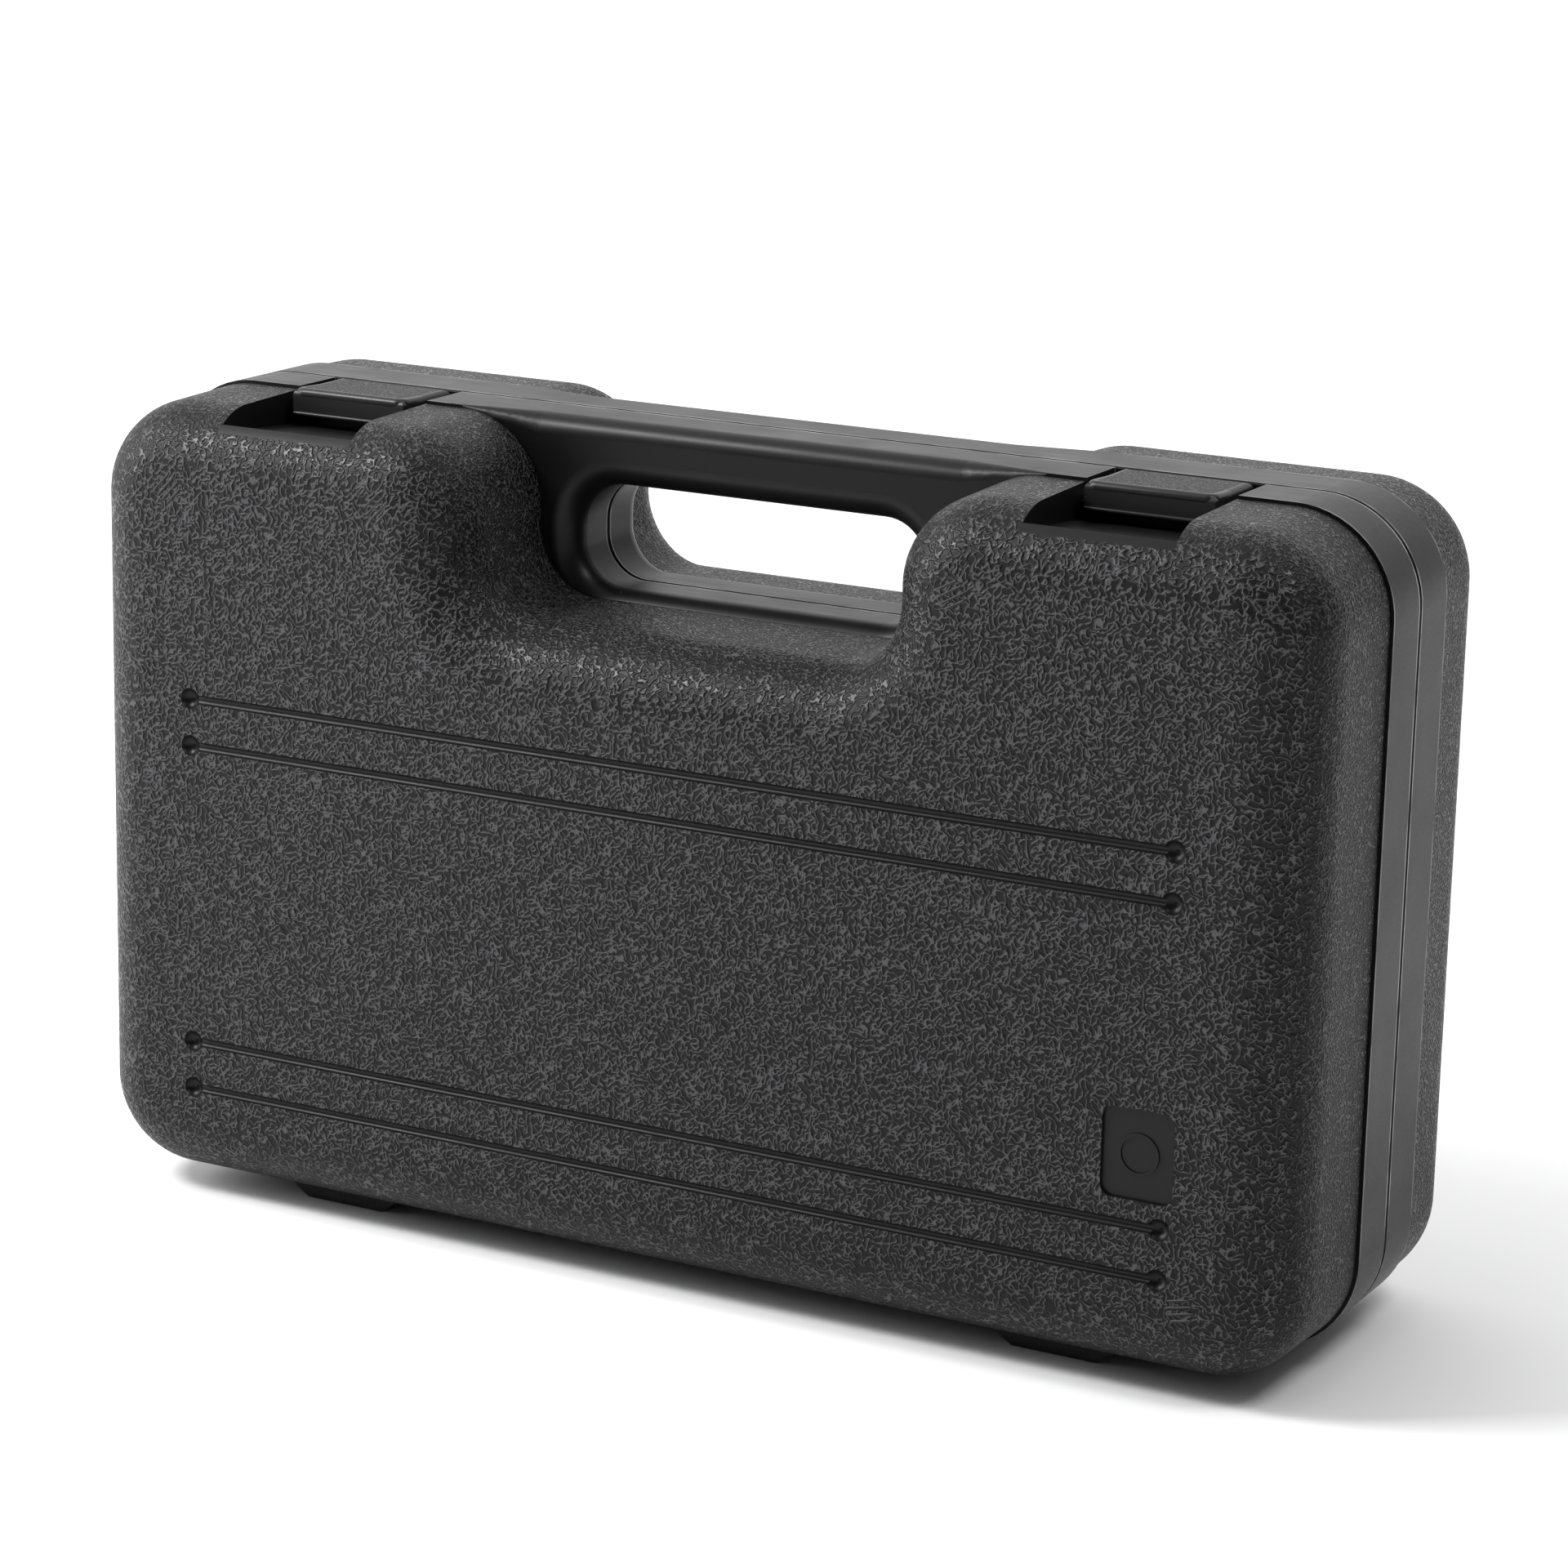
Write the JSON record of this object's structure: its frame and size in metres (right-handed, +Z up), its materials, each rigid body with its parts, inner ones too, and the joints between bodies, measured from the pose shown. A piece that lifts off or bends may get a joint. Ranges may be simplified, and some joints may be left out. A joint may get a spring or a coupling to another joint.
{
  "type": "toolbox with tray",
  "caption": "Upright hard case for tools with a moulded carrying handle, rocker latches, bottom hinges and a divided lift-out tray.",
  "frame": {"origin": "centre of the case's footprint, on the plane its feet stand on", "axes": "+X to the right seen from the front, the front face towards -Y, +Z up"},
  "size_m": [0.36, 0.1152, 0.2224],
  "materials": {
    "shell_plastic": "leather grain on the drafted faces, satin band and handle",
    "liner_plastic": "smooth satin",
    "foot_rubber": "matte",
    "pin_steel": "drawn wire",
    "hinge_plastic": "satin",
    "latch_plastic": "fine grain on top, polished rim and lip",
    "tray_plastic": "fine matt grain"
  },
  "bodies": {
    "base": {"front_outer_shell": "shell_plastic", "front_liner": "liner_plastic", "front_foot_left": "foot_rubber", "front_foot_right": "foot_rubber", "front_hinge_leaf_left": "hinge_plastic", "front_hinge_leaf_right": "hinge_plastic", "hinge_pin_left": "pin_steel", "hinge_pin_right": "pin_steel", "latch_pin_left": "pin_steel", "latch_pin_right": "pin_steel"},
    "lid": {"back_outer_shell": "shell_plastic", "back_liner": "liner_plastic", "back_foot_left": "foot_rubber", "back_foot_right": "foot_rubber", "back_hinge_leaf_left": "hinge_plastic", "back_hinge_leaf_right": "hinge_plastic"},
    "left_latch": {"latch_left": "latch_plastic"},
    "right_latch": {"latch_right": "latch_plastic"},
    "tray": {"tray": "tray_plastic", "tray_grip": "tray_plastic", "tray_divider_left": "tray_plastic", "tray_divider_right": "tray_plastic", "tray_shelf_left": "tray_plastic", "tray_shelf_right": "tray_plastic"}
  },
  "joints": [
    {"name": "lid_hinge", "type": "hinge", "parent": "base", "child": "lid", "pos_m": [0, 0.0045, 0.0028], "axis": [-1, 0, 0], "range_deg": [0, 160]},
    {"name": "left_latch_pivot", "type": "hinge", "parent": "base", "child": "left_latch", "pos_m": [-0.1175, -0.00765, 0.216], "axis": [-1, 0, 0], "range_deg": [0, 35]},
    {"name": "right_latch_pivot", "type": "hinge", "parent": "base", "child": "right_latch", "pos_m": [0.1175, -0.00765, 0.216], "axis": [-1, 0, 0], "range_deg": [0, 35]},
    {"name": "tray_lift", "type": "slide", "parent": "base", "child": "tray", "axis": [0, 1, 0], "range_m": [0, 0.034]}
  ]
}
